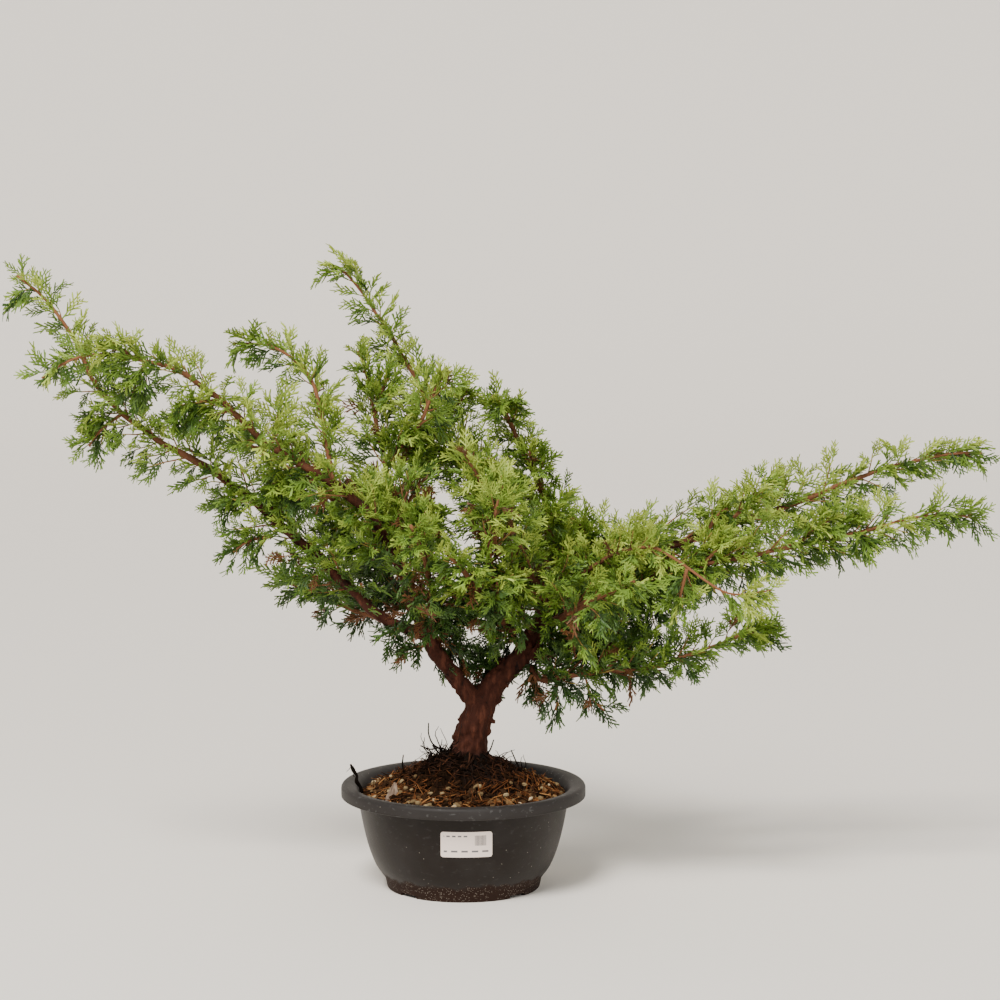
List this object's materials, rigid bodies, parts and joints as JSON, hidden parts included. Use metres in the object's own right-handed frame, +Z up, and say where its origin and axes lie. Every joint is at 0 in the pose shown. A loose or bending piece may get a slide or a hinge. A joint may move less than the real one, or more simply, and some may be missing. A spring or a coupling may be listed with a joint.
{
  "type": "potted juniper bonsai tree",
  "caption": "Juniper bonsai with a forked trunk and long sweeping leafy branches, planted in a mound of soil in a round black training bowl.",
  "frame": {"origin": "centre of the whole plant's footprint box, on the plane that the bowl's foot ring stands on", "axes": "+X along the branches' long spread, towards their lower side; -Y towards the front with the sticker; +Z up"},
  "size_m": [0.964, 0.3452, 0.6267],
  "materials": {
    "black_plastic": "matte, dusty, with soil stains at the foot",
    "sticker": "smooth white paper",
    "potting_mix": "matte, coarse bark and needle litter",
    "pumice": "matte",
    "grey_bark": "matte",
    "red_bark": "matte, flaking in long strips",
    "young_leaves": "satin scale leaves, yellow-green at the tips",
    "mature_leaves": "satin scale leaves, deep green"
  },
  "bodies": {
    "root": {"pot": "black_plastic", "label": "sticker", "soil": "potting_mix", "grit_stone_1": "pumice", "grit_stone_2": "pumice", "grit_stone_3": "pumice", "grit_stone_4": "pumice", "bark_chip": "grey_bark", "dead_twig": "red_bark", "trunk": "red_bark", "right_limb": "red_bark", "left_limb": "red_bark", "lower_left_branch": "red_bark", "upper_left_branch": "red_bark", "top_branch": "red_bark", "upper_right_branch": "red_bark", "lower_right_branch": "red_bark", "low_right_branch": "red_bark", "inner_top_branch": "red_bark", "mid_left_branch": "red_bark", "upright_left_branch": "red_bark", "short_left_branch": "red_bark", "back_arch_branch": "red_bark", "front_centre_branch": "red_bark", "centre_branch": "red_bark", "bare_front_branch": "red_bark", "front_left_branch": "red_bark", "front_middle_branch": "red_bark", "front_right_branch": "red_bark", "back_left_branch": "red_bark", "back_middle_branch": "red_bark", "back_right_branch": "red_bark", "back_low_left_branch": "red_bark", "first_hanging_branch": "red_bark", "second_hanging_branch": "red_bark", "lower_left_foliage": "mature_leaves", "upper_left_foliage": "young_leaves", "top_foliage": "young_leaves", "upper_right_foliage": "young_leaves", "lower_right_foliage": "mature_leaves", "low_right_foliage": "mature_leaves", "inner_top_foliage": "young_leaves", "mid_left_foliage": "young_leaves", "upright_left_foliage": "mature_leaves", "short_left_foliage": "young_leaves", "back_arch_foliage": "young_leaves", "front_centre_foliage": "young_leaves", "centre_foliage": "young_leaves", "bare_front_foliage": "young_leaves", "front_left_foliage": "mature_leaves", "front_middle_foliage": "mature_leaves", "front_right_foliage": "mature_leaves", "back_left_foliage": "mature_leaves", "back_middle_foliage": "mature_leaves", "back_right_foliage": "mature_leaves", "back_low_left_foliage": "mature_leaves", "first_hanging_foliage": "mature_leaves", "second_hanging_foliage": "mature_leaves"}
  },
  "joints": []
}
